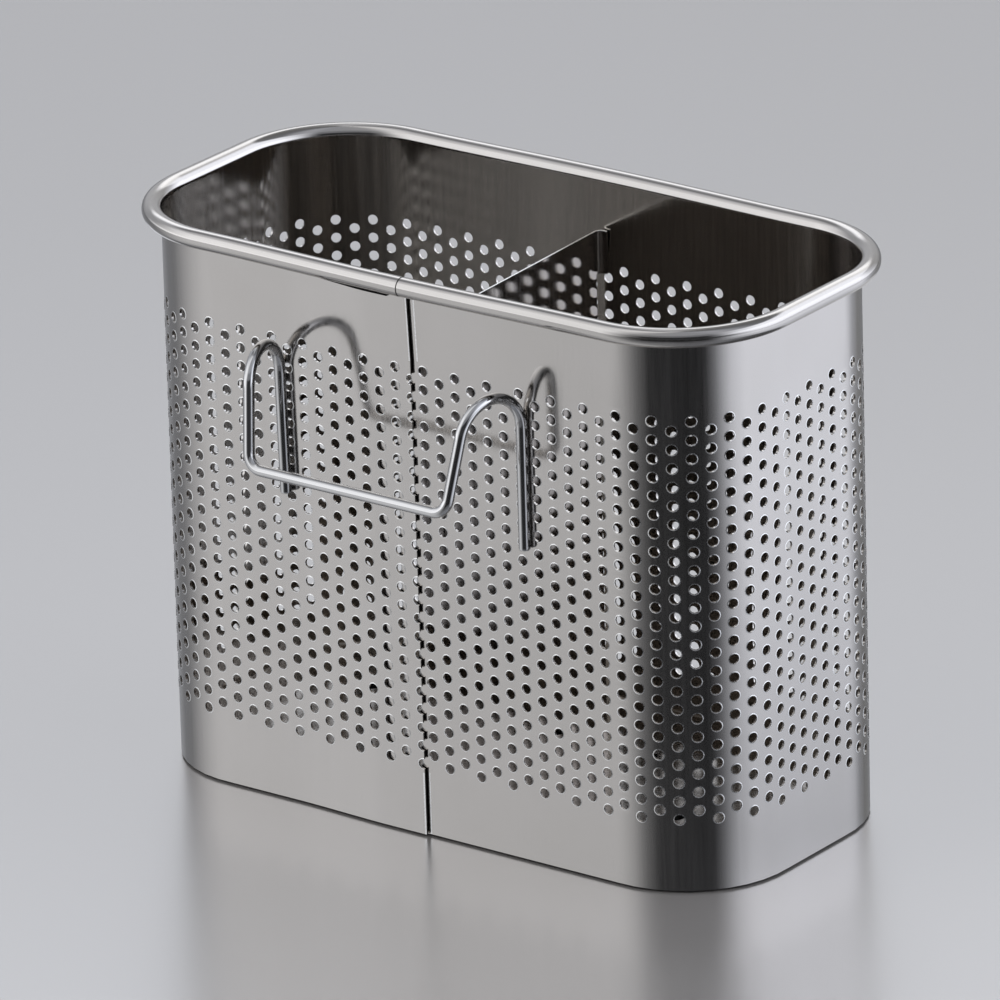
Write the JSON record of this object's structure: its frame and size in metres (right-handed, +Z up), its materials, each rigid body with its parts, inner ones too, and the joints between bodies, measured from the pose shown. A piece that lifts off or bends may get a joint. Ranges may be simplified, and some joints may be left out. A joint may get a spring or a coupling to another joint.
{
  "type": "chopstick holder",
  "caption": "Perforated stainless steel holder for chopsticks and cutlery, rounded oblong basket with a rolled rim, a divider and a wire hook for a rail.",
  "frame": {"origin": "middle of the basket's footprint, on the surface that the wall's lower edge stands on", "axes": "+X along the basket's length, -Y towards the rail hook and the seam, +Z up"},
  "size_m": [0.1954, 0.1191, 0.1535],
  "materials": {
    "polished_sheet": "bright rolled stainless sheet, polished, blurred reflections",
    "polished_wire": "polished stainless wire"
  },
  "bodies": {
    "root": {"basket_wall": "polished_sheet", "base_tray": "polished_sheet", "divider": "polished_sheet", "rail_hook": "polished_wire"}
  },
  "joints": []
}
